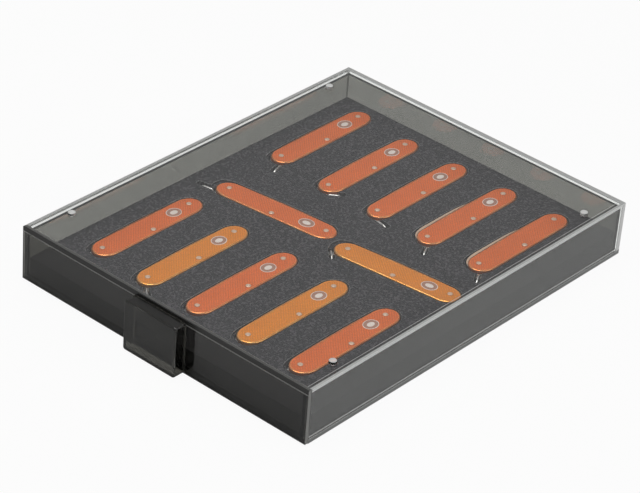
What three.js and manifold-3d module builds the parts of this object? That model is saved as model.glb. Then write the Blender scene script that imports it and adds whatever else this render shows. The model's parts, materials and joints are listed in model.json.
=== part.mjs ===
// Drawer case for a collection of folding pocket knives: a clear outer case, a smoked drawer with a
// square pull, a dark insert with a pocket for each knife, and the twelve closed knives themselves.
// Millimetres, +Z up, -Y is the front that the drawer opens towards. The origin is on the underside,
// in the middle of the outer case's footprint. Every size grows outwards from the knives: the knives
// and the margins round them give the insert, the insert gives the drawer, the drawer gives the case.

import * as THREE from 'three';
import { mergeVertices } from 'three/addons/utils/BufferGeometryUtils.js';
import Module from 'manifold-3d';

const wasm = await Module();
wasm.setup();

// Closed knife
const KNIFE_LENGTH = 93;
const KNIFE_WIDTH = 18;
const KNIFE_END_ROUND = 11;
const BLADE_SIDE_CROWN = 0.7;
const SCALE_THICKNESS = 2.4;
const SCALE_RIM = 0.9;
const LINER_THICKNESS = 1.15;
const BLADE_LAYER = 4.3;
const LINER_INSET = 0.3;
const BLADE_INSET = 0.9;
const RIVET_RADIUS = 1.7;
const RIVET_PROUD = 0.25;
const RIVET_CLEARANCE = 0.15;
const END_RIVET_INSET = 8;
const END_RIVET_OFFSET = -1.4;
const SPRING_RIVET_OFFSET = 4.9;
const BLADE_PROUD = 0.2;
const WIDE_BLADE_PROUD = 2.2;

// Steel bail at the near end of a knife, and how far each bail lies turned from its knife's length
const BAIL_WIRE = 1.5;
const BAIL_HEIGHT = 8;
const BAIL_REACH = 10;
const BAIL_SWING = 6;
const BAIL_CLEARANCE = 0.3;
const BAIL_PIN_DEPTH = 1.3;
const REAR_BAIL_TURNS = [14, 130, 80, 25, 30];
const CROSS_BAIL_TURNS = [4, 130];
const FRONT_BAIL_TURN = 50;
const LUG_TURN = 32;
const LUG_RADIUS = 2;
const LUG_INSET = 3.6;
const LUG_OVERHANG = 0.1;
const LUG_NECK = 5;

// Insert board and the layout of its pockets
const BOARD_THICKNESS = 11.6;
const BACKING_THICKNESS = 0.6;
const POCKET_CLEARANCE = 0.8;
const NEAR_END_ROOM = 2.7;
const KNIVES_IN_ROW = 5;
const REAR_MARGIN = 11;
const FRONT_MARGIN = 27;
const MIDDLE_BAND = 71;
const REAR_ROW_LEFT = 27.4;
const REAR_ROW_RIGHT = 30.2;
const FRONT_ROW_LEFT = 25;
const FRONT_ROW_RIGHT = 32.6;
const REAR_CORNER_SHIFT = [-3.4, 4.1];
const FRONT_CORNER_SHIFT = [0, 2.6];
const CROSS_LEFT = 19.5;
const CROSS_GAP = 6.8;
const CROSS_RIGHT = 13.3;
const CROSS_TURN = 6.1;
const CROSS_SHIFT = -3.6;
const CROSS_STEP = 2.5;

// Smoked drawer
const DRAWER_WALL = 2;
const DRAWER_FLOOR = 2;
const DRAWER_DEPTH = 29.4;
const FRONT_THICKNESS = 2.4;
const FRONT_GROUND_GAP = 0.6;

// Clear outer case
const CASE_WALL = 2.4;
const LID_THICKNESS = 2.4;
const BASE_THICKNESS = 3;
const PEG_RADIUS = 2.5;
const PEG_HEIGHT = 2;
const PEG_ROUND = 0.8;
const PEG_SIDE_INSET = 10;
const PEG_END_INSET = 31.5;
const RECESS_CLEARANCE = 0.4;

// Pull on the drawer front
const PULL_WIDTH = 43;
const PULL_TOP_STEP = 2;
const PULL_DEPTH = 9;
const PULL_WALL = 2.2;
const PULL_CORNER = 2;
const PULL_EDGE = 1.4;

// Clearances between the pieces
const SEAT_GAP = 0.05;
const INSERT_GAP = 0.3;
const SIDE_GAP = 0.5;
const FLOOR_GAP = 0.3;
const LID_GAP = 1.2;
const REAR_GAP = 0.6;
const FRONT_GAP = 0.3;

// Facets
const CURVE_STEPS = 3;
const ROUND_SIDES = 12;
const RIVET_SIDES = 6;
const WIRE_STEPS = 16;
const CUT_PAST = 1;

// Knife stack, measured from the knife's middle plane
const packHalf = BLADE_LAYER / 2 + LINER_THICKNESS;
const scaleInner = packHalf + SEAT_GAP;
const knifeHalf = scaleInner + SCALE_THICKNESS;
const lugX = KNIFE_WIDTH / 2 - LUG_INSET;
const lugY = -KNIFE_LENGTH / 2 - LUG_OVERHANG;
const bailHalf = BAIL_HEIGHT / 2;

// Board, drawer and case extents
const boardWidth = CROSS_LEFT + CROSS_GAP + CROSS_RIGHT + 2 * KNIFE_LENGTH;
const boardLength = REAR_MARGIN + MIDDLE_BAND + FRONT_MARGIN + 2 * KNIFE_LENGTH;
const trayHalfInner = boardWidth / 2 + INSERT_GAP;
const trayHalfOuter = trayHalfInner + DRAWER_WALL;
const caseHalfInner = trayHalfOuter + SIDE_GAP;
const caseHalf = caseHalfInner + CASE_WALL;
const trayLengthInner = boardLength + 2 * INSERT_GAP;
const caseLength = FRONT_THICKNESS + trayLengthInner + DRAWER_WALL + REAR_GAP + CASE_WALL;
const frontY = -caseLength / 2;
const panelBackY = frontY + FRONT_THICKNESS;
const trayInnerRearY = panelBackY + trayLengthInner;
const trayRearY = trayInnerRearY + DRAWER_WALL;
const caseFrontY = panelBackY + FRONT_GAP;
const caseInnerRearY = trayRearY + REAR_GAP;
const caseRearY = caseInnerRearY + CASE_WALL;
const boardFrontY = panelBackY + INSERT_GAP;
const boardRearY = boardFrontY + boardLength;

// Heights
const coverBottomZ = BASE_THICKNESS + SEAT_GAP;
const trayBottomZ = BASE_THICKNESS + FLOOR_GAP;
const trayFloorZ = trayBottomZ + DRAWER_FLOOR;
const trayTopZ = trayFloorZ + DRAWER_DEPTH;
const backingTopZ = trayFloorZ + SEAT_GAP + BACKING_THICKNESS;
const boardBottomZ = backingTopZ + SEAT_GAP;
const boardTopZ = boardBottomZ + BOARD_THICKNESS;
const lidBottomZ = trayTopZ + LID_GAP;
const caseTopZ = lidBottomZ + LID_THICKNESS;
const knifeMidZ = boardBottomZ + RIVET_PROUD + knifeHalf;

const clearPlastic = new THREE.MeshStandardMaterial({
  color: 0xdfe3e2, roughness: 0.05, metalness: 0, transparent: true, opacity: 0.3,
});
const smokedPlastic = new THREE.MeshStandardMaterial({
  color: 0x2b2c2a, roughness: 0.08, metalness: 0, transparent: true, opacity: 0.8,
});
const darkFoam = new THREE.MeshStandardMaterial({ color: 0x47474a, roughness: 0.95, metalness: 0 });
const darkCard = new THREE.MeshStandardMaterial({ color: 0x303033, roughness: 0.9, metalness: 0 });
const steel = new THREE.MeshStandardMaterial({ color: 0xb9b7b1, roughness: 0.3, metalness: 1 });
const redOrange = new THREE.MeshStandardMaterial({ color: 0xcf6a3c, roughness: 0.4, metalness: 0.6 });
const goldOrange = new THREE.MeshStandardMaterial({ color: 0xd8822f, roughness: 0.4, metalness: 0.6 });

function toSolid(geometry) {
  const bare = geometry.clone();
  bare.deleteAttribute('normal');
  bare.deleteAttribute('uv');
  const merged = mergeVertices(bare);
  return new wasm.Manifold(new wasm.Mesh({
    numProp: 3,
    vertProperties: new Float32Array(merged.attributes.position.array),
    triVerts: new Uint32Array(merged.index.array),
  }));
}

function toGeometry(solid) {
  const mesh = solid.getMesh();
  const indexed = new THREE.BufferGeometry();
  indexed.setAttribute('position', new THREE.BufferAttribute(mesh.vertProperties, 3));
  indexed.setIndex(new THREE.BufferAttribute(mesh.triVerts, 1));
  const flat = indexed.toNonIndexed();
  flat.computeVertexNormals();
  return flat;
}

function block(x0, x1, y0, y1, z0, z1) {
  const geometry = new THREE.BoxGeometry(x1 - x0, y1 - y0, z1 - z0);
  return geometry.translate((x0 + x1) / 2, (y0 + y1) / 2, (z0 + z1) / 2);
}

function prism(shape, z0, z1) {
  const geometry = new THREE.ExtrudeGeometry(shape, {
    depth: z1 - z0, bevelEnabled: false, curveSegments: CURVE_STEPS,
  });
  return geometry.translate(0, 0, z0);
}

function uprightCylinder(radius, x, y, z0, z1, sides) {
  const geometry = new THREE.CylinderGeometry(radius, radius, z1 - z0, sides);
  return geometry.rotateX(Math.PI / 2).translate(x, y, (z0 + z1) / 2);
}

function named(name, geometry, material) {
  const mesh = new THREE.Mesh(geometry, material);
  mesh.name = name;
  return mesh;
}

// Outline of a knife handle seen from above, its near end towards -Y and its blade side towards -X
function handleOutline(grow) {
  const half = KNIFE_WIDTH / 2 + grow;
  const straight = KNIFE_LENGTH / 2 - KNIFE_END_ROUND;
  const endRound = KNIFE_END_ROUND + grow;
  const shape = new THREE.Shape();
  shape.absellipse(0, straight, half, endRound, 0, Math.PI, false);
  shape.quadraticCurveTo(-half - 2 * BLADE_SIDE_CROWN, 0, -half, -straight);
  shape.absellipse(0, -straight, half, endRound, Math.PI, 2 * Math.PI, false);
  return shape;
}

// Outline of the folded blade, whose back stands proud of the handle along its near half
function bladeOutline(proud, grow) {
  const inside = -KNIFE_WIDTH / 2 + BLADE_INSET;
  const back = -KNIFE_WIDTH / 2 - proud - grow;
  const nearTip = -KNIFE_LENGTH / 2 - grow;
  const shape = new THREE.Shape();
  shape.moveTo(0, KNIFE_WIDTH);
  shape.lineTo(inside, KNIFE_WIDTH + grow);
  shape.quadraticCurveTo(back, KNIFE_WIDTH / 2, back, -KNIFE_WIDTH / 3);
  shape.lineTo(back, nearTip + KNIFE_END_ROUND + KNIFE_WIDTH / 3);
  shape.quadraticCurveTo(back, nearTip + proud, -KNIFE_WIDTH / 6, nearTip + BLADE_INSET);
  shape.lineTo(0, nearTip + KNIFE_END_ROUND);
  return shape;
}

// Straight slot or arm with round ends between two points
function capsule(from, to, radius) {
  const heading = Math.atan2(to.y - from.y, to.x - from.x);
  const shape = new THREE.Shape();
  shape.absarc(to.x, to.y, radius, heading - Math.PI / 2, heading + Math.PI / 2, false);
  shape.absarc(from.x, from.y, radius, heading + Math.PI / 2, heading + 1.5 * Math.PI, false);
  return shape;
}

// Point at a distance from the lug's hole, straight out from the near end for a turn of zero
function bailPoint(reach, turn) {
  const angle = THREE.MathUtils.degToRad(turn);
  return new THREE.Vector2(lugX + reach * Math.sin(angle), lugY - reach * Math.cos(angle));
}

function rivetPlaces() {
  const end = KNIFE_LENGTH / 2 - END_RIVET_INSET;
  return [[END_RIVET_OFFSET, -end], [SPRING_RIVET_OFFSET, 0], [END_RIVET_OFFSET, end]];
}

// Anodised scale with a chamfered rim and a hole for each rivet, lying above the middle plane
function scaleGeometry() {
  const blank = new THREE.ExtrudeGeometry(handleOutline(0), {
    depth: knifeHalf - SCALE_RIM,
    bevelThickness: SCALE_RIM,
    bevelSize: SCALE_RIM,
    bevelOffset: -SCALE_RIM,
    bevelSegments: 1,
    curveSegments: CURVE_STEPS,
  });
  const reach = KNIFE_LENGTH;
  let scale = toSolid(blank).subtract(toSolid(block(-reach, reach, -reach, reach, -reach, scaleInner)));
  for (const [x, y] of rivetPlaces()) {
    const radius = RIVET_RADIUS + RIVET_CLEARANCE;
    scale = scale.subtract(toSolid(uprightCylinder(radius, x, y, 0, knifeHalf + CUT_PAST, RIVET_SIDES)));
  }
  return toGeometry(scale);
}

// Blades, springs, liners and rivets, which stay together as one riveted pack
function packGeometry(bladeProud, hasBail) {
  const layerHalf = BLADE_LAYER / 2;
  let pack = toSolid(prism(handleOutline(-BLADE_INSET), -packHalf, packHalf));
  pack = pack.add(toSolid(prism(handleOutline(-LINER_INSET), layerHalf, packHalf)));
  pack = pack.add(toSolid(prism(handleOutline(-LINER_INSET), -packHalf, -layerHalf)));
  pack = pack.add(toSolid(prism(bladeOutline(bladeProud, 0), -layerHalf, layerHalf)));
  const headZ = knifeHalf + RIVET_PROUD;
  for (const [x, y] of rivetPlaces()) {
    pack = pack.add(toSolid(uprightCylinder(RIVET_RADIUS, x, y, -headZ, headZ, RIVET_SIDES)));
  }
  if (hasBail) {
    const lug = capsule(bailPoint(-LUG_NECK, LUG_TURN), bailPoint(0, LUG_TURN), LUG_RADIUS);
    const hole = BAIL_WIRE / 2 + BAIL_CLEARANCE;
    pack = pack.add(toSolid(prism(lug, -layerHalf, layerHalf)));
    pack = pack.subtract(toSolid(uprightCylinder(hole, lugX, lugY, -packHalf, packHalf, RIVET_SIDES)));
  }
  return toGeometry(pack);
}

// Bent wire bail: both ends turn into the lug's hole, from above and from below
function bailGeometry(turn) {
  const along = (reach, z) => {
    const point = bailPoint(reach, turn);
    return new THREE.Vector3(point.x, point.y, z);
  };
  const pinEnd = BLADE_LAYER / 2 - BAIL_PIN_DEPTH;
  const bend = BAIL_WIRE;
  const path = new THREE.CurvePath();
  path.add(new THREE.LineCurve3(along(0, pinEnd), along(0, bailHalf - bend)));
  path.add(new THREE.QuadraticBezierCurve3(
    along(0, bailHalf - bend), along(0, bailHalf), along(bend, bailHalf),
  ));
  path.add(new THREE.LineCurve3(along(bend, bailHalf), along(BAIL_REACH - bailHalf, bailHalf)));
  path.add(new THREE.CubicBezierCurve3(
    along(BAIL_REACH - bailHalf, bailHalf), along(BAIL_REACH, bailHalf),
    along(BAIL_REACH, -bailHalf), along(BAIL_REACH - bailHalf, -bailHalf),
  ));
  path.add(new THREE.LineCurve3(along(BAIL_REACH - bailHalf, -bailHalf), along(bend, -bailHalf)));
  path.add(new THREE.QuadraticBezierCurve3(
    along(bend, -bailHalf), along(0, -bailHalf), along(0, bend - bailHalf),
  ));
  path.add(new THREE.LineCurve3(along(0, bend - bailHalf), along(0, -pinEnd)));
  const section = new THREE.Shape();
  section.absarc(0, 0, BAIL_WIRE / 2, 0, 2 * Math.PI, false);
  return new THREE.ExtrudeGeometry(section, {
    steps: WIRE_STEPS, curveSegments: 3, extrudePath: path,
  });
}

// Space that a knife needs in the board, in the knife's own frame, with room at its near end
function pocketSolids(knife) {
  const z0 = -knifeHalf - RIVET_PROUD - CUT_PAST;
  const z1 = BOARD_THICKNESS + CUT_PAST;
  const solids = [];
  for (const outline of [handleOutline(POCKET_CLEARANCE), bladeOutline(knife.bladeProud, POCKET_CLEARANCE)]) {
    solids.push(toSolid(prism(outline, z0, z1)));
    solids.push(toSolid(prism(outline, z0, z1).translate(0, -NEAR_END_ROOM, 0)));
  }
  if (knife.hasBail) {
    const sweep = BAIL_REACH * Math.sin(THREE.MathUtils.degToRad(BAIL_SWING));
    const radius = sweep + BAIL_WIRE / 2 + BAIL_CLEARANCE;
    const notch = capsule(bailPoint(0, knife.bailTurn), bailPoint(BAIL_REACH, knife.bailTurn), radius);
    solids.push(toSolid(prism(notch, z0, z1)));
  }
  return solids;
}

// Where each knife lies on the board
function knifeList() {
  const knives = [];
  const rearY = boardRearY - REAR_MARGIN - KNIFE_LENGTH / 2;
  const frontRowY = boardFrontY + FRONT_MARGIN + KNIFE_LENGTH / 2;
  const rearPitch = (boardWidth - REAR_ROW_LEFT - REAR_ROW_RIGHT) / (KNIVES_IN_ROW - 1);
  const frontPitch = (boardWidth - FRONT_ROW_LEFT - FRONT_ROW_RIGHT) / (KNIVES_IN_ROW - 1);
  for (let i = 0; i < KNIVES_IN_ROW; i += 1) {
    const [shiftX, shiftY] = i === 0 ? REAR_CORNER_SHIFT : [0, 0];
    const wide = i >= KNIVES_IN_ROW - 2;
    knives.push({
      name: `rear_knife_${i + 1}`,
      x: -boardWidth / 2 + REAR_ROW_LEFT + rearPitch * i + shiftX,
      y: rearY + shiftY,
      turn: 0,
      bladeProud: wide ? WIDE_BLADE_PROUD : BLADE_PROUD,
      hasBail: true,
      bailTurn: REAR_BAIL_TURNS[i],
      finish: redOrange,
    });
  }
  for (let i = 0; i < 2; i += 1) {
    const fromLeft = CROSS_LEFT + KNIFE_LENGTH / 2 + i * (KNIFE_LENGTH + CROSS_GAP);
    knives.push({
      name: `cross_knife_${i + 1}`,
      x: -boardWidth / 2 + fromLeft,
      y: (rearY + frontRowY + CROSS_STEP * (2 * i - 1)) / 2 + CROSS_SHIFT,
      turn: CROSS_TURN - 90,
      bladeProud: BLADE_PROUD,
      hasBail: true,
      bailTurn: CROSS_BAIL_TURNS[i],
      finish: i === 0 ? redOrange : goldOrange,
    });
  }
  for (let i = 0; i < KNIVES_IN_ROW; i += 1) {
    const [shiftX, shiftY] = i === 0 ? FRONT_CORNER_SHIFT : [0, 0];
    const gold = i % 2 === 1;
    knives.push({
      name: `front_knife_${i + 1}`,
      x: -boardWidth / 2 + FRONT_ROW_LEFT + frontPitch * i + shiftX,
      y: frontRowY + shiftY,
      turn: 0,
      bladeProud: BLADE_PROUD,
      hasBail: i === 1,
      bailTurn: FRONT_BAIL_TURN,
      finish: gold ? goldOrange : redOrange,
    });
  }
  return knives;
}

function placedGroup(knife) {
  const place = new THREE.Group();
  place.position.set(knife.x, knife.y, knifeMidZ);
  place.rotation.z = THREE.MathUtils.degToRad(knife.turn);
  place.updateMatrix();
  return place;
}

function knifeGroup(knife) {
  const place = placedGroup(knife);
  const scale = scaleGeometry();
  const turnedOver = scaleGeometry().scale(1, 1, -1);
  flipFaces(turnedOver);
  place.add(named(`${knife.name}_top_scale`, scale, knife.finish));
  place.add(named(`${knife.name}_bottom_scale`, turnedOver, knife.finish));
  place.add(named(`${knife.name}_blade_pack`, packGeometry(knife.bladeProud, knife.hasBail), steel));
  if (knife.hasBail) {
    place.add(named(`${knife.name}_bail`, bailGeometry(knife.bailTurn), steel));
  }
  return place;
}

// A mirrored triangle list has its faces turned in; swapping two corners of each turns them out
function flipFaces(geometry) {
  const position = geometry.attributes.position;
  const second = new THREE.Vector3();
  const third = new THREE.Vector3();
  for (let i = 0; i < position.count; i += 3) {
    second.fromBufferAttribute(position, i + 1);
    third.fromBufferAttribute(position, i + 2);
    position.setXYZ(i + 1, third.x, third.y, third.z);
    position.setXYZ(i + 2, second.x, second.y, second.z);
  }
  geometry.computeVertexNormals();
}

// Board with a pocket cut right through it for each knife
function boardGeometry(knives) {
  const half = boardWidth / 2;
  let board = toSolid(block(-half, half, boardFrontY, boardRearY, boardBottomZ, boardTopZ));
  for (const knife of knives) {
    const matrix = Array.from(placedGroup(knife).matrix.elements);
    for (const pocket of pocketSolids(knife)) {
      board = board.subtract(pocket.transform(matrix));
    }
  }
  return toGeometry(board);
}

function backingGeometry() {
  const half = boardWidth / 2;
  return block(-half, half, boardFrontY, boardRearY, trayFloorZ + SEAT_GAP, backingTopZ);
}

// Drawer tray and its full-size front, one moulding
function trayGeometry() {
  const tub = block(-trayHalfOuter, trayHalfOuter, frontY, trayRearY, trayBottomZ, trayTopZ);
  const front = block(-caseHalf, caseHalf, frontY, panelBackY, FRONT_GROUND_GAP, caseTopZ);
  const inside = block(
    -trayHalfInner, trayHalfInner, panelBackY, trayInnerRearY, trayFloorZ, trayTopZ + CUT_PAST,
  );
  return toGeometry(toSolid(tub).add(toSolid(front)).subtract(toSolid(inside)));
}

// Hollow square pull, open at the back where it sits on the drawer front
function pullGeometry() {
  const half = PULL_WIDTH / 2;
  const bottom = FRONT_GROUND_GAP;
  const top = caseTopZ - PULL_TOP_STEP;
  const shape = new THREE.Shape();
  shape.absarc(half - PULL_CORNER, top - PULL_CORNER, PULL_CORNER, 0, Math.PI / 2, false);
  shape.absarc(PULL_CORNER - half, top - PULL_CORNER, PULL_CORNER, Math.PI / 2, Math.PI, false);
  shape.absarc(PULL_CORNER - half, bottom + PULL_CORNER, PULL_CORNER, Math.PI, 1.5 * Math.PI, false);
  shape.absarc(half - PULL_CORNER, bottom + PULL_CORNER, PULL_CORNER, 1.5 * Math.PI, 2 * Math.PI, false);
  const blank = new THREE.ExtrudeGeometry(shape, {
    depth: PULL_DEPTH - PULL_EDGE,
    bevelThickness: PULL_EDGE,
    bevelSize: PULL_EDGE,
    bevelOffset: -PULL_EDGE,
    bevelSegments: 2,
    curveSegments: 2,
  });
  blank.rotateX(Math.PI / 2).translate(0, frontY, 0);
  const backY = frontY - SEAT_GAP;
  const behind = block(-PULL_WIDTH, PULL_WIDTH, backY, frontY + PULL_DEPTH, -caseTopZ, 2 * caseTopZ);
  const hollow = block(
    PULL_WALL - half, half - PULL_WALL,
    frontY - PULL_DEPTH + PULL_WALL, frontY + CUT_PAST,
    bottom + PULL_WALL, top - PULL_WALL,
  );
  return toGeometry(toSolid(blank).subtract(toSolid(behind)).subtract(toSolid(hollow)));
}

function pegPlaces() {
  const x = caseHalf - PEG_SIDE_INSET;
  const y = caseLength / 2 - PEG_END_INSET;
  return [[-x, -y], [x, -y], [x, y], [-x, y]];
}

// Short round peg on the lid, rooted in the lid so that the two join
function pegGeometry(x, y) {
  const root = LID_THICKNESS / 2;
  const profile = [
    new THREE.Vector2(0, -root),
    new THREE.Vector2(PEG_RADIUS, -root),
    new THREE.Vector2(PEG_RADIUS, PEG_HEIGHT - PEG_ROUND),
    new THREE.Vector2(PEG_RADIUS - PEG_ROUND * 0.3, PEG_HEIGHT - PEG_ROUND * 0.3),
    new THREE.Vector2(PEG_RADIUS - PEG_ROUND, PEG_HEIGHT),
    new THREE.Vector2(0, PEG_HEIGHT),
  ];
  return new THREE.LatheGeometry(profile, ROUND_SIDES).rotateX(Math.PI / 2).translate(x, y, caseTopZ);
}

// Clear cover: lid, two sides and back in one moulding, with the stacking pegs on the lid
function coverGeometry() {
  const outside = block(-caseHalf, caseHalf, caseFrontY, caseRearY, coverBottomZ, caseTopZ);
  const inside = block(
    -caseHalfInner, caseHalfInner, caseFrontY - CUT_PAST, caseInnerRearY, 0, lidBottomZ,
  );
  let cover = toSolid(outside).subtract(toSolid(inside));
  for (const [x, y] of pegPlaces()) {
    cover = cover.add(toSolid(pegGeometry(x, y)));
  }
  return toGeometry(cover);
}

// Clear base plate with a recess under each peg, for stacking on another case
function baseGeometry() {
  let base = toSolid(block(-caseHalf, caseHalf, caseFrontY, caseRearY, 0, BASE_THICKNESS));
  for (const [x, y] of pegPlaces()) {
    const recess = uprightCylinder(
      PEG_RADIUS + RECESS_CLEARANCE, x, y, -CUT_PAST, PEG_HEIGHT + RECESS_CLEARANCE, ROUND_SIDES,
    );
    base = base.subtract(toSolid(recess));
  }
  return toGeometry(base);
}

const group = new THREE.Group();
const knives = knifeList();
group.add(named('case_cover', coverGeometry(), clearPlastic));
group.add(named('case_base', baseGeometry(), clearPlastic));
group.add(named('drawer_tray', trayGeometry(), smokedPlastic));
group.add(named('drawer_pull', pullGeometry(), smokedPlastic));
group.add(named('insert_board', boardGeometry(knives), darkFoam));
group.add(named('insert_backing', backingGeometry(), darkCard));
for (const knife of knives) {
  group.add(knifeGroup(knife));
}

export default group;
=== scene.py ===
# Looks of a drawer case for a collection of folding pocket knives: clear cover and base, smoked drawer
# with a square pull, flocked foam board with a pocket for each knife, and twelve closed knives.
# Metres, +Z up, -Y is the front that the drawer opens towards.

import json
import math

import bmesh
import bpy
from mathutils import Matrix, Vector


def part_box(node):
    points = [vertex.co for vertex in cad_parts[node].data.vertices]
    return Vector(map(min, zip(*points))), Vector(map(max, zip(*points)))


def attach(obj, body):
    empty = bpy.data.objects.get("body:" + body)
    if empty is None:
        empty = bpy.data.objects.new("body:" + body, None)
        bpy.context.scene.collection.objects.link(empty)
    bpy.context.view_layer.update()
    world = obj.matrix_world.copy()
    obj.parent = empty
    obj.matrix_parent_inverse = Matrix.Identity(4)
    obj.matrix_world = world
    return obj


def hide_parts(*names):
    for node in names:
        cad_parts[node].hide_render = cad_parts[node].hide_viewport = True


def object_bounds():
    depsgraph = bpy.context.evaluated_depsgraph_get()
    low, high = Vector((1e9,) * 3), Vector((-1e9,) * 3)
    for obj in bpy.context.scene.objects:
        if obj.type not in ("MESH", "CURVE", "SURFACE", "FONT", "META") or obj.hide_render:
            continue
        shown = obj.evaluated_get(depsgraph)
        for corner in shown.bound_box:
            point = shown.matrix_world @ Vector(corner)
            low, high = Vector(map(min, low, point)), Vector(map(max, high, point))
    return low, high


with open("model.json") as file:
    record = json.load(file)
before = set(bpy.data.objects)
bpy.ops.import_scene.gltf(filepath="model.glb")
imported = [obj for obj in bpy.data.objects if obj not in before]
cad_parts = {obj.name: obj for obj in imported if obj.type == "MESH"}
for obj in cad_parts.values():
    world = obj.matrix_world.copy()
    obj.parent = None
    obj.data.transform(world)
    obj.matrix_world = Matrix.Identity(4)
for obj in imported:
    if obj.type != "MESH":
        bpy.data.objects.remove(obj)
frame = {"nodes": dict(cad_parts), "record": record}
cad_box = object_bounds()
scene = bpy.context.scene

MM = 0.001

# Closed knife, in its own frame: middle at the origin, near end at -Y, blade side at -X
KNIFE_LENGTH = 93 * MM
KNIFE_WIDTH = 18 * MM
KNIFE_END_ROUND = 11 * MM
BLADE_SIDE_CROWN = 0.7 * MM
BLADE_LAYER = 4.3 * MM
LINER_THICKNESS = 1.15 * MM
LINER_INSET = 0.3 * MM
BLADE_INSET = 0.9 * MM
CORE_INSET = 1.3 * BLADE_INSET
BLADE_PROUD = 0.2 * MM
WIDE_BLADE_PROUD = 2.2 * MM
WIDE_BACK_STEP = 0.35 * MM
BLADE_SLIT = 0.25 * MM
LOWER_BLADE_SHARE = 0.7
CROSS_TURN = 6.1
SCALE_RIM = 0.9 * MM
SCALE_LIP = 1.5 * MM
FIELD_DEPTH = 0.16 * MM
PLATE_EDGE = 0.18 * MM

# Rivets. The dome of a head is given in shares of its radius and of how far it stands out.
RIVET_RADIUS = 1.7 * MM
RIVET_PROUD = 0.25 * MM
RIVET_DOME = ((1, 0), (0.93, 0.55), (0.74, 0.95), (0.55, 1), (0.42, 0.85), (0, 0.85))
RIVET_CLEARANCE = 0.15 * MM
END_RIVET_INSET = 8 * MM
END_RIVET_OFFSET = -1.4 * MM
SPRING_RIVET_OFFSET = 4.9 * MM

# Embossed pips and the plain oval badge
PIP_PITCH = 1.5 * MM
PIP_WIDTH = 0.95 * MM
PIP_HEIGHT = 0.2 * MM
PIP_TOP_SHARE = 0.42
PIP_FOOT_SHARE = 0.7
PIP_MARGIN = 0.75 * PIP_WIDTH
PIP_REACH = 1.15 * KNIFE_LENGTH
PIP_SLANT = 45
BADGE_PLACE = (-0.5 * MM, 23.8 * MM)
BADGE_RADII = (5 * MM, 5.9 * MM)
BADGE_BAND = 0.45 * MM
BADGE_HEIGHT = 0.12 * MM
GROUND_HEIGHT = 1.3 * BADGE_HEIGHT
BADGE_MARGIN = 0.35 * MM
BUTTON_INSET = 3 * MM

# Steel bail, and how far each lies turned from its knife's length
BAIL_WIRE = 1.5 * MM
BAIL_HEIGHT = 8 * MM
BAIL_REACH = 10 * MM
BAIL_SWING = 6
BAIL_CLEARANCE = 0.3 * MM
BAIL_PIN_DEPTH = 1.3 * MM
BAIL_TURNS = {
    "rear_knife_1": 14, "rear_knife_2": 130, "rear_knife_3": 80, "rear_knife_4": 25, "rear_knife_5": 30,
    "cross_knife_1": 4, "cross_knife_2": 130, "front_knife_2": 50,
}
LUG_TURN = 32
LUG_RADIUS = 2 * MM
LUG_OFFSET = 5.4 * MM
LUG_OVERHANG = 0.1 * MM
LUG_NECK = 5 * MM

# Case, drawer and board
CASE_WALL = 2.4 * MM
LID_THICKNESS = 2.4 * MM
FRONT_THICKNESS = 2.4 * MM
FRONT_GAP = 0.3 * MM
DRAWER_WALL = 2 * MM
INSERT_GAP = 0.3 * MM
SEAT_GAP = 0.05 * MM
LID_GAP = 1.2 * MM
PEG_RADIUS = 2.5 * MM
PEG_HEIGHT = 2 * MM
PEG_ROUND = 0.8 * MM
PEG_SIDE_INSET = 10 * MM
PEG_END_INSET = 31.5 * MM
RECESS_CLEARANCE = 0.4 * MM
PULL_WALL = 2.2 * MM
PULL_CORNER = 2 * MM
PULL_EDGE = 1.4 * MM
MOULDED_EDGE = 0.35 * MM
# Bands of painted light and shade on the plastics: pale bands along the cover's edges, a pale line on
# the lid near each side, a pale band on the base plate's side, and dark, grey and pale bands on the
# drawer's front panel
LIT_EDGE_BANDS = (2.2 * MM, 1.8 * MM, 3.6 * MM, 2 * MM)     # left, right, rear and down from the lid
LID_LIGHT_LINE = (3.5 * MM, 3.9 * MM)
PLATE_LIT_BAND = 0.8 * MM
PANEL_RIM = 2.7 * MM
PANEL_TOP_EDGE = 0.9 * MM
PANEL_HIGHLIGHT_LINE = 0.8 * MM
PANEL_FOOT = 0.7 * MM
POCKET_CLEARANCE = 0.8 * MM
NEAR_END_ROOM = 2.7 * MM
POCKET_EDGE = 0.3 * MM
POCKET_TOP = POCKET_EDGE / 10
FLOCK_EDGE = POCKET_EDGE / 50
NEAR_SHELF_DEPTH = 1.6 * MM
CUT_PAST = 1 * MM

# How finely curves are drawn, and the angle between two faces beyond which an edge stays sharp
END_STEPS = 22
SIDE_STEPS = 12
ROUND_SIDES = 40
RIVET_SIDES = 20
WIRE_SIDES = 12
BEND_STEPS = 5
RIM_STEPS = 5
EDGE_STEPS = 4
MOULD_STEPS = 3
PLATE_STEPS = 2
MOULD_ANGLE = 40
MOULDED_SHARP = 50
SHARP = 35
SCALE_SHARP = 25
WIRE_SHARP = 60

# How far a face's normal has to point along an axis to count as facing that way
FACING = 0.3
SQUARELY_FACING = 0.6

ROWS = {"rear_knife": 5, "cross_knife": 2, "front_knife": 5}
KNIVES = [f"{row}_{i + 1}" for row, count in ROWS.items() for i in range(count)]
WIDE_BLADES = ("rear_knife_4", "rear_knife_5")
GOLD_KNIVES = ("cross_knife_2", "front_knife_2", "front_knife_4")
NO_BADGE = ("rear_knife_5",)

# Camera, as the case is seen from its front right corner
CAMERA_PLACE = (0.9256, -1.13834, 0.94906)
CAMERA_TURN = (57.3988, -3.8811, 41.7938)
CAMERA_LENS = 155.418

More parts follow.
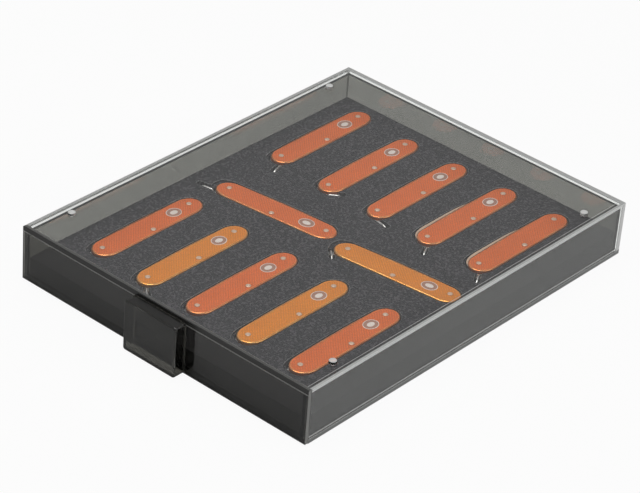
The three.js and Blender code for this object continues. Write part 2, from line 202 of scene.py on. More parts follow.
# Floor, soft boxes (direction from the case, distance, width, watts) and the glow of the room
WHITE = (1.0, 1.0, 1.0, 1.0)
FLOOR_DROP = 0.1 * MM
FLOOR_SIZE = 8.0
FLOOR_COLOUR = (0.6, 0.6, 0.595)
FLOOR_WHITE = 0.94
# Painted shadow on the floor: how far in under the case its white fades, and the share of it left there
FLOOR_SHADE = 4 * MM
FLOOR_UNDER_CASE = 0.25
# Painted reflection: how bright the floor glows in reflections, and the span of x plus y over which it
# grows towards the rear right
FLOOR_GLEAM = 0.5
MIRRORED_FLOOR_GLOW = (-60 * MM, -20 * MM)
KEY_LIGHT = ((-0.15, -0.14, 0.98), 1.3, 0.8, 8.2)
FILL_LIGHT = ((0.85, 0.25, 0.6), 1.8, 1.4, 7.0)
ROOM_ZENITH = 0.42
ROOM_HORIZON = 0.3


# Outlines: lists of (x, y), counter-clockwise
def arc(centre, radii, start, end, steps):
    points = []
    for i in range(steps + 1):
        angle = math.radians(start + (end - start) * i / steps)
        points.append((centre[0] + radii[0] * math.cos(angle), centre[1] + radii[1] * math.sin(angle)))
    return points


def bend(start, control, end, steps):
    points = []
    for i in range(steps + 1):
        t = i / steps
        weights = ((1 - t) ** 2, 2 * t * (1 - t), t ** 2)
        points.append(tuple(
            sum(weight * value for weight, value in zip(weights, values))
            for values in zip(start, control, end)
        ))
    return points


def handle_outline(grow=0.0):
    half = KNIFE_WIDTH / 2 + grow
    straight = KNIFE_LENGTH / 2 - KNIFE_END_ROUND
    end_round = KNIFE_END_ROUND + grow
    far_end = arc((0, straight), (half, end_round), 0, 180, END_STEPS)
    side = bend((-half, straight), (-half - 2 * BLADE_SIDE_CROWN, 0), (-half, -straight), SIDE_STEPS)
    near_end = arc((0, -straight), (half, end_round), 180, 360, END_STEPS)
    return far_end + side[1:-1] + near_end


def blade_outline(proud, grow):
    inside = -KNIFE_WIDTH / 2 + BLADE_INSET
    back = -KNIFE_WIDTH / 2 - proud - grow
    near_tip = -KNIFE_LENGTH / 2 - grow
    tip_start = near_tip + KNIFE_END_ROUND + KNIFE_WIDTH / 3
    tip_end = (-KNIFE_WIDTH / 6, near_tip + BLADE_INSET)
    heel_end = (back, -KNIFE_WIDTH / 3)
    heel = bend((inside, KNIFE_WIDTH + grow), (back, KNIFE_WIDTH / 2), heel_end, SIDE_STEPS)
    tip = bend((back, tip_start), (back, near_tip + proud), tip_end, SIDE_STEPS)
    return [(0, KNIFE_WIDTH)] + heel + tip + [(0, near_tip + KNIFE_END_ROUND)]


def spring_outline(grow):
    """The backs of the springs, along the side away from the blades"""
    return [(x, y) for x, y in handle_outline(grow) if x > SPRING_RIVET_OFFSET / 2]


def slot_outline(start, end, radius):
    heading = math.degrees(math.atan2(end[1] - start[1], end[0] - start[0]))
    half_turn = END_STEPS // 2
    points = arc(end, (radius, radius), heading - 90, heading + 90, half_turn)
    return points + arc(start, (radius, radius), heading + 90, heading + 270, half_turn)


def round_outline(centre, radii, sides):
    return arc(centre, radii, 0, 360, sides)[:-1]


def square_outline(half_width, half_height, corner, grow):
    """Rectangle with rounded corners, about the origin"""
    points = []
    for i, (side_x, side_y) in enumerate(((1, 1), (-1, 1), (-1, -1), (1, -1))):
        centre = (side_x * (half_width - corner), side_y * (half_height - corner))
        radius = corner + grow
        points += arc(centre, (radius, radius), 90 * i, 90 * i + 90, 2 * EDGE_STEPS)
    return points


def shifted(outline, shift):
    return lambda grow: [(x, y + shift) for x, y in outline(grow)]


def bail_point(reach, turn):
    angle = math.radians(turn)
    lug_y = -KNIFE_LENGTH / 2 - LUG_OVERHANG
    return (LUG_OFFSET + reach * math.sin(angle), lug_y - reach * math.cos(angle))


def quarter(radius, steps=EDGE_STEPS):
    """How far a quarter round still has to go sideways and up, step by step"""
    angles = [math.pi / 2 * i / steps for i in range(steps + 1)]
    return [(radius * (1 - math.sin(angle)), radius * (1 - math.cos(angle))) for angle in angles]


def rivet_places():
    end = KNIFE_LENGTH / 2 - END_RIVET_INSET
    return [(END_RIVET_OFFSET, -end), (SPRING_RIVET_OFFSET, 0), (END_RIVET_OFFSET, end)]


# Meshes
def new_object(name, shape):
    """An object in the scene, from a bmesh or from a mesh, camera or lamp"""
    data = shape
    if isinstance(shape, bmesh.types.BMesh):
        data = bpy.data.meshes.new(name)
        shape.to_mesh(data)
        shape.free()
    obj = bpy.data.objects.new(name, data)
    scene.collection.objects.link(obj)
    return obj


def add_loft(shape, outline, levels):
    """A closed solid through outline(grow) at each (grow, z) level, from the lowest up"""
    rings = [[shape.verts.new((x, y, z)) for x, y in outline(grow)] for grow, z in levels]
    for lower, upper in zip(rings, rings[1:]):
        for i in range(len(lower)):
            j = (i + 1) % len(lower)
            shape.faces.new((lower[i], lower[j], upper[j], upper[i]))
    shape.faces.new(list(reversed(rings[0])))
    shape.faces.new(rings[-1])


def loft(name, outline, levels):
    shape = bmesh.new()
    add_loft(shape, outline, levels)
    return new_object(name, shape)


def eased(z0, z1, edge, steps):
    """Levels of a plate whose upper and lower edges are rounded"""
    lower = [(-inset, z0 + rise) for inset, rise in quarter(edge, steps)]
    return lower + [(grow, z0 + z1 - z) for grow, z in reversed(lower)]


def eased_top(top, edge, steps):
    """The upper half of such a plate's levels"""
    return [(grow, z) for grow, z in eased(-top, top, edge, steps) if z > 0]


def plate_levels(*faces):
    return eased(*sorted(faces), PLATE_EDGE, PLATE_STEPS)


def block(name, low, high):
    shape = bmesh.new()
    bmesh.ops.create_cube(shape, size=1)
    middle = (Vector(low) + Vector(high)) / 2
    size = Vector(high) - Vector(low)
    place = Matrix.Translation(middle) @ Matrix.Diagonal((*size, 1))
    bmesh.ops.transform(shape, matrix=place, verts=shape.verts)
    return new_object(name, shape)


def turned(name, profile, sides):
    """A solid of revolution about Z, from a (radius, z) profile that starts and ends on the axis"""
    shape = bmesh.new()
    rings = []
    for radius, z in profile:
        around = round_outline((0, 0), (radius, radius), sides) if radius else [(0, 0)]
        rings.append([shape.verts.new((x, y, z)) for x, y in around])
    for lower, upper in zip(rings, rings[1:]):
        for i in range(sides):
            corners = [(lower, i), (lower, i + 1), (upper, i + 1), (upper, i)]
            shape.faces.new(dict.fromkeys(ring[place % len(ring)] for ring, place in corners))
    return new_object(name, shape)


def settle(obj):
    """Takes the mesh as the object's modifiers leave it, and drops the modifiers"""
    graph = bpy.context.evaluated_depsgraph_get()
    mesh = bpy.data.meshes.new_from_object(
        obj.evaluated_get(graph), preserve_all_data_layers=True, depsgraph=graph,
    )
    obj.modifiers.clear()
    obj.data = mesh
    return obj


def boolean(obj, operation, tools):
    """Cuts or joins the tools one after another, and removes them"""
    for tool in tools:
        modifier = obj.modifiers.new(tool.name, "BOOLEAN")
        modifier.operation = operation
        modifier.solver = "EXACT"
        modifier.object = tool
    settle(obj)
    for tool in tools:
        bpy.data.objects.remove(tool)
    return obj


def crisp(obj, angle=SHARP):
    """Smooth shading that keeps flat faces flat, with edges sharp beyond the angle"""
    obj.data.shade_smooth()
    obj.data.set_sharp_from_angle(angle=math.radians(angle))
    modifier = obj.modifiers.new("normals", "WEIGHTED_NORMAL")
    modifier.keep_sharp = True
    return settle(obj)


def moulded(obj, edge=MOULDED_EDGE):
    """Rounds every sharp edge a little, as a mould does"""
    modifier = obj.modifiers.new("edges", "BEVEL")
    modifier.width = edge
    modifier.segments = MOULD_STEPS
    modifier.limit_method = "ANGLE"
    modifier.angle_limit = math.radians(MOULD_ANGLE)
    settle(obj)
    return crisp(obj, MOULDED_SHARP)


def sliced(obj, levels):
    """Cuts the faces along planes square to an axis, so that a painted band of light and shade stops
    there
    """
    shape = bmesh.new()
    shape.from_mesh(obj.data)
    for axis, level in levels:
        cut = Vector([level if i == axis else 0 for i in range(3)])
        everything = shape.verts[:] + shape.edges[:] + shape.faces[:]
        bmesh.ops.bisect_plane(shape, geom=everything, plane_co=cut, plane_no=cut)
    shape.to_mesh(obj.data)
    shape.free()


def joined(name, objects):
    shape = bmesh.new()
    for obj in objects:
        shape.from_mesh(obj.data)
        bpy.data.objects.remove(obj)
    return new_object(name, shape)


# Node trees: what every kind needs, and geometry trees for what repeats or follows a path
def new_group(name, inputs, outputs, sort="Shader"):
    """A node group, whose inputs are given by their kinds or, for a number, by its usual value"""
    tree = bpy.data.node_groups.new(name, sort + "NodeTree")
    for label, value in inputs.items():
        kind = "Float" if isinstance(value, float) else value
        socket = tree.interface.new_socket(label, in_out="INPUT", socket_type=f"NodeSocket{kind}")
        if kind != value:
            socket.default_value = value
    for label, kind in outputs.items():
        tree.interface.new_socket(label, in_out="OUTPUT", socket_type=f"NodeSocket{kind}")
    return tree, tree.nodes.new("NodeGroupInput").outputs, tree.nodes.new("NodeGroupOutput").inputs


def new_tree(name, sizes):
    inputs = {"Geometry": "Geometry", **sizes, "Material": "Material"}
    return new_group(name, inputs, {"Geometry": "Geometry"}, "Geometry")


def feed(tree, socket, value):
    """Sets an input to a value, or links it to another node's output"""
    if isinstance(value, bpy.types.NodeSocket):
        tree.links.new(value, socket)
    else:
        socket.default_value = value


def node(tree, kind, inputs=None, **settings):
    """Adds a node, and gives its outputs"""
    made = tree.nodes.new(kind)
    for label, value in settings.items():
        setattr(made, label, value)
    for label, value in (inputs or {}).items():
        feed(tree, made.inputs[label], value)
    return made.outputs


def maths(tree, kind, *values):
    """A Math node's result"""
    return node(tree, "ShaderNodeMath", dict(enumerate(values)), operation=kind)[0]


def ranged(tree, value, start, end, low=0.0, high=1.0):
    """The value mapped from start and end to low and high, and held between them"""
    return node(tree, "ShaderNodeMapRange", {
        "Value": value, "From Min": start, "From Max": end, "To Min": low, "To Max": high,
    })[0]


def end_tree(tree, given, result, geometry):
    real = node(tree, "GeometryNodeRealizeInstances", {"Geometry": geometry})
    dressed = node(tree, "GeometryNodeSetMaterial", {
        "Geometry": real[0], "Material": given["Material"],
    })
    feed(tree, result[0], dressed[0])
    return tree


def pip_tree():
    """Small flat-topped pips in slanting rows, wherever they lie over the given plate"""
    sizes = {"Reach": "Float", "Pitch": "Float", "Pip Width": "Float", "Pip Height": "Float"}
    tree, given, result = new_tree("embossed_pips", sizes)
    gaps = maths(tree, "ROUND", maths(tree, "DIVIDE", given["Reach"], given["Pitch"]))
    side = maths(tree, "MULTIPLY", gaps, given["Pitch"])
    count = maths(tree, "ADD", gaps, 1.0)
    grid = node(tree, "GeometryNodeMeshGrid", {
        "Size X": side, "Size Y": side, "Vertices X": count, "Vertices Y": count,
    })
    slanting = node(tree, "GeometryNodeTransform", {
        "Geometry": grid["Mesh"], "Rotation": (0, 0, math.radians(PIP_SLANT)),
    })
    points = node(tree, "GeometryNodeMeshToPoints", {"Mesh": slanting[0]})
    place = node(tree, "GeometryNodeInputPosition")
    height = (0, 0, KNIFE_WIDTH)
    above = node(tree, "ShaderNodeVectorMath", {0: place[0], 1: height}, operation="ADD")
    cast = node(tree, "GeometryNodeRaycast", {
        "Target Geometry": given["Geometry"], "Source Position": above[0],
        "Ray Direction": (0, 0, -1), "Ray Length": 2 * KNIFE_WIDTH,
    })
    missed = node(tree, "FunctionNodeBooleanMath", {0: cast["Is Hit"]}, operation="NOT")
    kept = node(tree, "GeometryNodeDeleteGeometry", {
        "Geometry": points[0], "Selection": missed[0],
    })
    pip = node(tree, "GeometryNodeMeshCone", {
        "Vertices": 4, "Depth": given["Pip Height"],
        "Radius Top": maths(tree, "MULTIPLY", given["Pip Width"], PIP_TOP_SHARE),
        "Radius Bottom": maths(tree, "MULTIPLY", given["Pip Width"], PIP_FOOT_SHARE),
    })
    spread = node(tree, "GeometryNodeInstanceOnPoints", {
        "Points": kept[0], "Instance": pip["Mesh"],
    })
    return end_tree(tree, given, result, spread[0])


def wire_tree():
    """Round wire along a line of edges"""
    tree, given, result = new_tree("bent_wire", {"Wire": "Float"})
    section = node(tree, "GeometryNodeCurvePrimitiveCircle", {
        "Resolution": WIRE_SIDES, "Radius": maths(tree, "MULTIPLY", given["Wire"], 0.5),
    })
    line = node(tree, "GeometryNodeMeshToCurve", {"Mesh": given["Geometry"]})
    wire = node(tree, "GeometryNodeCurveToMesh", {
        "Curve": line[0], "Profile Curve": section[0], "Fill Caps": True,
    })
    return end_tree(tree, given, result, wire[0])


def copies_tree():
    """The same part on every given point, turned over on the points that lie below the middle"""
    tree, given, result = new_tree("repeated_part", {"Part": "Object"})
    part = node(tree, "GeometryNodeObjectInfo", {"Object": given["Part"]})
    place = node(tree, "GeometryNodeInputPosition")
    height = node(tree, "ShaderNodeSeparateXYZ", {0: place[0]})
    below = maths(tree, "LESS_THAN", height["Z"], 0.0)
    turn = node(tree, "ShaderNodeCombineXYZ", {"X": maths(tree, "MULTIPLY", below, math.pi)})
    spread = node(tree, "GeometryNodeInstanceOnPoints", {
        "Points": given["Geometry"], "Instance": part["Geometry"], "Rotation": turn[0],
    })
    return end_tree(tree, given, result, spread[0])


def grown(obj, tree, values):
    """The object's mesh, replaced by what the tree makes from it"""
    modifier = obj.modifiers.new(tree.name, "NODES")
    modifier.node_group = tree
    for item in tree.interface.items_tree:
        if item.in_out == "INPUT" and item.name in values:
            modifier[item.identifier] = values[item.name]
    return settle(obj)


def strung(name, points, edges=(), faces=()):
    mesh = bpy.data.meshes.new(name)
    mesh.from_pydata(points, edges, faces)
    return new_object(name, mesh)


# Shader node groups that the finishes share, and the bounds of their noise
PATCHY = (-0.6, 0.4)
SPECK_SOFTNESS = 0.12


def mixed(tree, factor, first, second):
    """Two colours mixed"""
    return node(tree, "ShaderNodeMix", {0: factor, 6: first, 7: second}, data_type="RGBA")[2]


def noise(tree, vector, scale, detail=2.0):
    """Noise about zero, from -1 to 1"""
    made = node(tree, "ShaderNodeTexNoise", {"Vector": vector, "Scale": scale, "Detail": detail})
    return maths(tree, "MULTIPLY_ADD", made["Fac"], 2.0, -1.0)


def grain_group():
    """Fine grain and broad blotches in a colour, with the grain also as roughness and as height"""
    numbers = ("Grain Scale", "Grain", "Blotch Scale", "Blotch", "Roughness", "Roughness Spread")
    inputs = {"Vector": "Vector", "Color": "Color", **dict.fromkeys(numbers, "Float")}
    outputs = {"Color": "Color", "Roughness": "Float", "Height": "Float"}
    tree, given, result = new_group("surface_grain", inputs, outputs)
    fine = noise(tree, given["Vector"], given["Grain Scale"])
    broad = noise(tree, given["Vector"], given["Blotch Scale"], 3.0)
    fine_share = maths(tree, "MULTIPLY_ADD", fine, given["Grain"], 1.0)
    share = maths(tree, "MULTIPLY_ADD", broad, given["Blotch"], fine_share)
    tinted = node(tree, "ShaderNodeVectorMath", {0: given["Color"], "Scale": share}, operation="SCALE")
    feed(tree, result["Color"], tinted[0])
    roughness = maths(tree, "MULTIPLY_ADD", fine, given["Roughness Spread"], given["Roughness"])
    feed(tree, result["Roughness"], roughness)
    feed(tree, result["Height"], fine)
    return tree


def polish_and_highlight_group():
    """A rubbed colour where a mask and a patchy noise meet; along the scales' rims it is partly real
    polish and partly a painted highlight
    """
    inputs = {
        "Vector": "Vector", "Color": "Color", "Polish And Highlight Color": "Color", "Mask": "Float",
        "Amount": "Float", "Patch Scale": 160.0,
    }
    tree, given, result = new_group("polished_and_highlit_edges", inputs, {"Color": "Color"})
    patches = ranged(tree, noise(tree, given["Vector"], given["Patch Scale"], 4.0), *PATCHY)
    met = maths(tree, "MULTIPLY", patches, given["Mask"])
    wear = maths(tree, "MULTIPLY", met, given["Amount"])
    feed(tree, result["Color"], mixed(tree, wear, given["Color"], given["Polish And Highlight Color"]))
    return tree


def ripple_group():
    """Slow waves of a moulded face with a finer flow over them, as a height"""
    inputs = {"Vector": "Vector", "Wave Scale": 20.0, "Flow Scale": 140.0, "Flow": 0.05}
    tree, given, result = new_group("moulded_ripple", inputs, {"Height": "Float"})
    wave = noise(tree, given["Vector"], given["Wave Scale"], 1.0)
    flow = noise(tree, given["Vector"], given["Flow Scale"], 1.0)
    feed(tree, result["Height"], maths(tree, "MULTIPLY_ADD", flow, given["Flow"], wave))
    return tree


def dust_group():
    """A few pale specks over a colour"""
    inputs = {
        "Vector": "Vector", "Color": "Color", "Speck Color": "Color", "Threshold": "Float",
        "Speck Scale": 700.0, "Amount": 0.5,
    }
    tree, given, result = new_group("dust_specks", inputs, {"Color": "Color"})
    full = maths(tree, "ADD", given["Threshold"], SPECK_SOFTNESS)
    dots = noise(tree, given["Vector"], given["Speck Scale"], 0.0)
    specks = ranged(tree, dots, given["Threshold"], full, 0.0, given["Amount"])
    feed(tree, result["Color"], mixed(tree, specks, given["Color"], given["Speck Color"]))
    return tree


GRAIN = grain_group()
POLISH_AND_HIGHLIGHT = polish_and_highlight_group()
RIPPLE = ripple_group()
DUST = dust_group()


# Finishes
def middle_plane(knife):
    low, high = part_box(f"{knife}_blade_pack")
    return (low.z + high.z) / 2


# Heights from the middle plane: underside and top of the upper scale, and where rivet metal starts
SCALE_FOOT, SCALE_TOP = [
    corner.z - middle_plane("front_knife_1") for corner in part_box("front_knife_1_top_scale")
]
HEAD_FOOT = SCALE_TOP - 0.5 * MM

# Plastics
PLASTIC_IOR = 1.49
CLEAR_TINT = (0.96, 0.965, 0.96)
SMOKED_TINT = (0.5, 0.49, 0.475)

# Scales: where along the rim the rubbed line (partly real polish, partly a painted highlight) and the
# dark side (a painted shade) begin and are full, how far painted shade darkens the hollows between the
# pips, and the share of its colour that the darkest painted shade keeps
RIM_POLISH_AND_HIGHLIGHT = (0.25, 0.5)
RIM_SIDE_SHADE = (0.9, 0.97)
HOLLOW_SHADE = 0.3
DARKEST = 0.35


def new_material(name):
    material = bpy.data.materials.new(name)
    material.use_nodes = True
    tree = material.node_tree
    return material, tree, tree.nodes["Principled BSDF"].inputs


def grouped(tree, group, place, colour, values):
    """What a shared group makes of a place, a colour and its other values"""
    if not isinstance(colour, bpy.types.NodeSocket):
        colour = (*colour, 1.0)
    inputs = {"Vector": place, "Color": colour, **values}
    return node(tree, "ShaderNodeGroup", inputs, node_tree=group)


def object_place(tree):
    return node(tree, "ShaderNodeTexCoord")["Object"]


def knife_place_of(tree):
    """Place in the knife's own frame, stored on its pieces"""
    return node(tree, "ShaderNodeAttribute", attribute_name="knife_place")["Vector"]


def bumped(tree, shader, height, distance, strength):
    bump = node(tree, "ShaderNodeBump", {"Height": height, "Distance": distance, "Strength": strength})
    feed(tree, shader["Normal"], bump[0])


def plastic(name, colour, lamp_colour, roughness=0.0, clearness=1.0):
    """Moulded see-through plastic. Lamplight and soft light go straight through it, tinted."""
    material, tree, shader = new_material(name)
    place = object_place(tree)
    grain = grouped(tree, GRAIN, place, colour, {
        "Grain Scale": 900.0, "Grain": 0.015, "Blotch Scale": 14.0, "Blotch": 0.03,
    })
    feed(tree, shader["Base Color"], grain["Color"])
    ripple = node(tree, "ShaderNodeGroup", {"Vector": place}, node_tree=RIPPLE)
    bumped(tree, shader, ripple["Height"], 0.25 * MM, 0.25)
    shader["Transmission Weight"].default_value = clearness
    shader["Roughness"].default_value = roughness
    shader["IOR"].default_value = PLASTIC_IOR
    passing = node(tree, "ShaderNodeBsdfTransparent", {"Color": (*lamp_colour, 1.0)})[0]
    path = node(tree, "ShaderNodeLightPath")
    glass = tree.nodes["Principled BSDF"].outputs[0]
    soft = node(tree, "ShaderNodeMixShader", {0: path["Is Diffuse Ray"], 1: glass, 2: passing})
    hard = node(tree, "ShaderNodeMixShader", {0: path["Is Shadow Ray"], 1: soft[0], 2: passing})
    feed(tree, tree.nodes["Material Output"].inputs["Surface"], hard[0])
    return material


def anodised(name, colour, polish_and_highlight):
    """Dyed aluminium: an even satin, with painted shade between the pips and on the rim's outer side,
    and a line along the rim rubbed paler, partly real polish and partly a painted highlight
    """
    material, tree, shader = new_material(name)
    place = knife_place_of(tree)
    height = node(tree, "ShaderNodeSeparateXYZ", {0: place})["Z"]
    from_middle = maths(tree, "ABSOLUTE", height)
    hollow = ranged(tree, from_middle, SCALE_TOP - FIELD_DEPTH, SCALE_TOP - FIELD_DEPTH / 2, 1.0, 0.0)
    rim = node(tree, "ShaderNodeAttribute", attribute_name="rim")["Fac"]
    edge = ranged(tree, rim, *RIM_POLISH_AND_HIGHLIGHT)
    side = ranged(tree, rim, *RIM_SIDE_SHADE)
    # Painted shade: darker in the hollows between the pips and on the outer side of the rim
    shade = maths(tree, "MAXIMUM", maths(tree, "MULTIPLY", hollow, HOLLOW_SHADE), side)
    shaded = mixed(tree, shade, (*colour, 1.0), tuple(DARKEST * part for part in colour) + (1.0,))
    grain = grouped(tree, GRAIN, place, shaded, {
        "Grain Scale": 1100.0, "Grain": 0.24, "Blotch Scale": 55.0, "Blotch": 0.1,
        "Roughness": 0.34, "Roughness Spread": 0.1,
    })
    # Rim line: paler, glossier and more metallic, partly real polish and partly a painted highlight
    line = maths(tree, "SUBTRACT", edge, side)
    rubbed = grouped(tree, POLISH_AND_HIGHLIGHT, place, grain["Color"], {
        "Polish And Highlight Color": (*polish_and_highlight, 1.0), "Mask": line, "Amount": 0.9,
    })
    feed(tree, shader["Base Color"], rubbed["Color"])
    feed(tree, shader["Roughness"], maths(tree, "MULTIPLY_ADD", line, -0.14, grain["Roughness"]))
    bumped(tree, shader, grain["Height"], 0.012 * MM, 0.4)
    feed(tree, shader["Metallic"], maths(tree, "MULTIPLY_ADD", line, 0.5, 0.35))
    return material


def metal(name, colour, roughness, metallic):
    """Metal with fine drawn lines along the knife"""
    material, tree, shader = new_material(name)
    drawn = node(tree, "ShaderNodeMapping", {"Vector": knife_place_of(tree), "Scale": (1.0, 0.05, 1.0)})
    grain = grouped(tree, GRAIN, drawn[0], colour, {
        "Grain Scale": 5000.0, "Grain": 0.14, "Blotch Scale": 120.0, "Blotch": 0.1,
        "Roughness": roughness, "Roughness Spread": 0.12,
    })
    feed(tree, shader["Base Color"], grain["Color"])
    feed(tree, shader["Roughness"], grain["Roughness"])
    bumped(tree, shader, grain["Height"], 0.008 * MM, 0.4)
    shader["Metallic"].default_value = metallic
    return material


def fibrous(name, colour, speck, threshold, bump_depth):
    """Matt fibres, speckled, with a few paler bits of lint"""
    material, tree, shader = new_material(name)
    place = object_place(tree)
    grain = grouped(tree, GRAIN, place, colour, {
        "Grain Scale": 900.0, "Grain": 1.3, "Blotch Scale": 30.0, "Blotch": 0.14,
        "Roughness": 0.92, "Roughness Spread": 0.06,
    })
    dusty = grouped(tree, DUST, place, grain["Color"], {
        "Speck Color": (*speck, 1.0), "Threshold": threshold,
    })
    feed(tree, shader["Base Color"], dusty["Color"])
    feed(tree, shader["Roughness"], grain["Roughness"])
    bumped(tree, shader, grain["Height"], bump_depth, 0.7)
    shader["Specular IOR Level"].default_value = 0.2
    shader["Sheen Weight"].default_value = 0.04
    shader["Sheen Roughness"].default_value = 0.5
    return material


# Colour, tint of the light that goes through, roughness and clearness
CLEAR_PLASTIC = plastic("clear_plastic", (0.95, 0.96, 0.95), CLEAR_TINT)
# Painted light: pale frosted grey for the bands along the cover's edges and the base plate's upper side
CLEAR_LIT_EDGE = plastic("clear_plastic_lit_edge", (0.5, 0.51, 0.5), CLEAR_TINT, 0.3, 0.4)
# Painted highlight: a brighter band on the cover's edges that face right
RIGHT_EDGE_HIGHLIGHT = plastic("clear_plastic_right_edge_highlight", (0.95, 0.96, 0.95), CLEAR_TINT, 0.3, 0.25)
# Painted light: a dimmer grey band on the cover's front end faces
CLEAR_DIM_END_LIGHT = plastic("clear_plastic_dim_end_light", (0.3, 0.305, 0.3), CLEAR_TINT, 0.3, 0.4)
# Painted light: a grey frosted band for the base plate's sides
PLATE_SIDE_LIGHT = plastic("base_plate_side_light", (0.34, 0.345, 0.34), CLEAR_TINT, 0.3, 0.4)
# Painted highlight: pale frosted white for the tops of the pegs
PEG_TOP_HIGHLIGHT = plastic("clear_plastic_peg_highlight", (0.85, 0.86, 0.85), CLEAR_TINT, 0.2, 0.4)
SMOKED_PLASTIC = plastic("smoked_plastic", (0.225, 0.222, 0.205), SMOKED_TINT)
# Painted shade: near black for the dark edges and bands of the drawer
SMOKED_EDGE_SHADE = plastic("smoked_plastic_edge_shade", (0.012, 0.012, 0.011), SMOKED_TINT, 0.3, 0.0)
# Painted light: a grey band on top of the drawer's front panel
SMOKED_RIM_LIGHT = plastic("smoked_plastic_rim_light", (0.12, 0.12, 0.115), SMOKED_TINT, 0.3, 0.3)
# Painted highlight: a pale line across the drawer's front panel
SMOKED_HIGHLIGHT_LINE = plastic("smoked_plastic_highlight_line", (0.28, 0.28, 0.27), SMOKED_TINT, 0.3, 0.3)
# Painted light: a pale grey band for the drawer's end faces
SMOKED_LIT_END = plastic("smoked_plastic_lit_end", (0.3, 0.3, 0.29), SMOKED_TINT, 0.4, 0.2)

# Colour, and the rubbed colour of the rim line, partly real polish and partly a painted highlight
RED_ORANGE = anodised("red_orange_anodised", (0.97, 0.21, 0.041), (1.0, 0.5, 0.2))
GOLD_ORANGE = anodised("gold_orange_anodised", (1.0, 0.33, 0.027), (1.0, 0.58, 0.2))

# Colour, roughness and metallic
STEEL = metal("polished_steel", (0.78, 0.76, 0.74), 0.28, 1.0)
RIVET_METAL = metal("rivet_metal", (0.74, 0.53, 0.4), 0.4, 0.35)
SILVER_INLAY = metal("silver_inlay", (0.92, 0.8, 0.74), 0.36, 0.2)
BADGE_GROUND = metal("badge_ground", (0.42, 0.22, 0.16), 0.5, 0.2)

# Colour, colour of the lint, how rare it is, and depth of the bump
FLOCK = fibrous("flocked_foam", (0.026, 0.025, 0.029), (0.13, 0.12, 0.13), 0.12, 0.25 * MM)
# Paler grey for the rounded edges round the pockets
PALE_POCKET_EDGE = fibrous("pale_pocket_edge", (0.17, 0.17, 0.17), (0.3, 0.3, 0.3), 0.4, 0.05 * MM)
CARD = fibrous("backing_card", (0.02, 0.02, 0.022), (0.05, 0.05, 0.05), 0.5, 0.05 * MM)

PIPS = pip_tree()
WIRE = wire_tree()
COPIES = copies_tree()


def fit_out(piece, material, node_name, replaced=True):
    """Gives the piece its finish and its slot, and has it ride with the body of the node"""
    piece.data.materials.clear()
    piece.data.materials.append(material)
    if replaced:
        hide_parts(node_name)
    bodies = frame["record"]["behaviour"]["bodies"]
    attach(piece, next(body for body in bodies if node_name in bodies[body]))
    return piece


def second_finish_or_painted_band(piece, material, chosen):
    """Another finish on the faces that are chosen: a real second material, or a painted band of light
    and shade
    """
    piece.data.materials.append(material)
    for face in piece.data.polygons:
        if chosen(face):
            face.material_index = len(piece.data.materials) - 1


# Clear case
def repeated(part, places):
    """One mesh of the part at each place"""
    copies = grown(strung("copies", places), COPIES, {"Part": part, "Material": CLEAR_PLASTIC})
    bpy.data.objects.remove(part)
    return copies


def peg_places(z):
    low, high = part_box("case_cover")
    x = high.x - PEG_SIDE_INSET
    front = low.y - FRONT_GAP - FRONT_THICKNESS
    ends = (front + PEG_END_INSET, high.y - PEG_END_INSET)
    return [(side_x, end_y, z) for side_x in (-x, x) for end_y in ends]


def make_cover():
    low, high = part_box("case_cover")
    lid_top = high.z - PEG_HEIGHT
    cover = block("cover_shell", low, (high.x, high.y, lid_top))
    inside = block(
        "inside", (low.x + CASE_WALL, low.y - CUT_PAST, low.z - CUT_PAST),
        (high.x - CASE_WALL, high.y - CASE_WALL, lid_top - LID_THICKNESS),
    )
    boolean(cover, "DIFFERENCE", [inside])
    foot = -LID_THICKNESS / 2
    shoulder = [(PEG_RADIUS - inset, PEG_HEIGHT - drop) for drop, inset in quarter(PEG_ROUND)]
    profile = [(0, foot), (PEG_RADIUS, foot)] + shoulder + [(0, PEG_HEIGHT)]
    pegs = repeated(turned("peg", profile, ROUND_SIDES), peg_places(lid_top))
    boolean(cover, "UNION", [pegs])
    left, right, rear, top = LIT_EDGE_BANDS
    bands = [(0, low.x + left), (0, high.x - right), (1, high.y - rear), (2, lid_top - top)]
    sliced(cover, bands + [(0, side * (high.x - inset)) for side in (-1, 1) for inset in LID_LIGHT_LINE])
    piece = fit_out(moulded(cover), CLEAR_PLASTIC, "case_cover")

    def along_edge(face):
        x, y, z = face.center
        sides = min((x - low.x) / left, (high.x - x) / right)
        depths = (sides, (high.y - y) / rear, (lid_top - z) / top)
        return sorted(depths)[1] < 1 and min(high.x - abs(x), high.y - y, lid_top - z) < MOULDED_EDGE

    def on_peg(face):
        return face.center.z > lid_top + MOULDED_EDGE and face.normal.z > FACING

    def on_lid_light_line(face):
        on_lid = abs(face.center.z - lid_top) < MOULDED_EDGE and face.center.y < high.y - rear
        return on_lid and LID_LIGHT_LINE[0] < high.x - abs(face.center.x) < LID_LIGHT_LINE[1]

    # Painted light: pale bands along the cover's edges and a pale line on the lid near each side
    second_finish_or_painted_band(piece, CLEAR_LIT_EDGE, lambda face: along_edge(face) or on_lid_light_line(face))
    # Painted highlight: the cover's edge faces that face right are brighter
    second_finish_or_painted_band(piece, RIGHT_EDGE_HIGHLIGHT, lambda face: along_edge(face) and face.normal.x > FACING)
    # Painted highlight: pale frosted white on the pegs' upward-facing faces
    second_finish_or_painted_band(piece, PEG_TOP_HIGHLIGHT, on_peg)
    # Painted light: a dimmer grey band on the cover's front end faces
    second_finish_or_painted_band(piece, CLEAR_DIM_END_LIGHT, lambda face: face.center.y < low.y + MOULDED_EDGE)


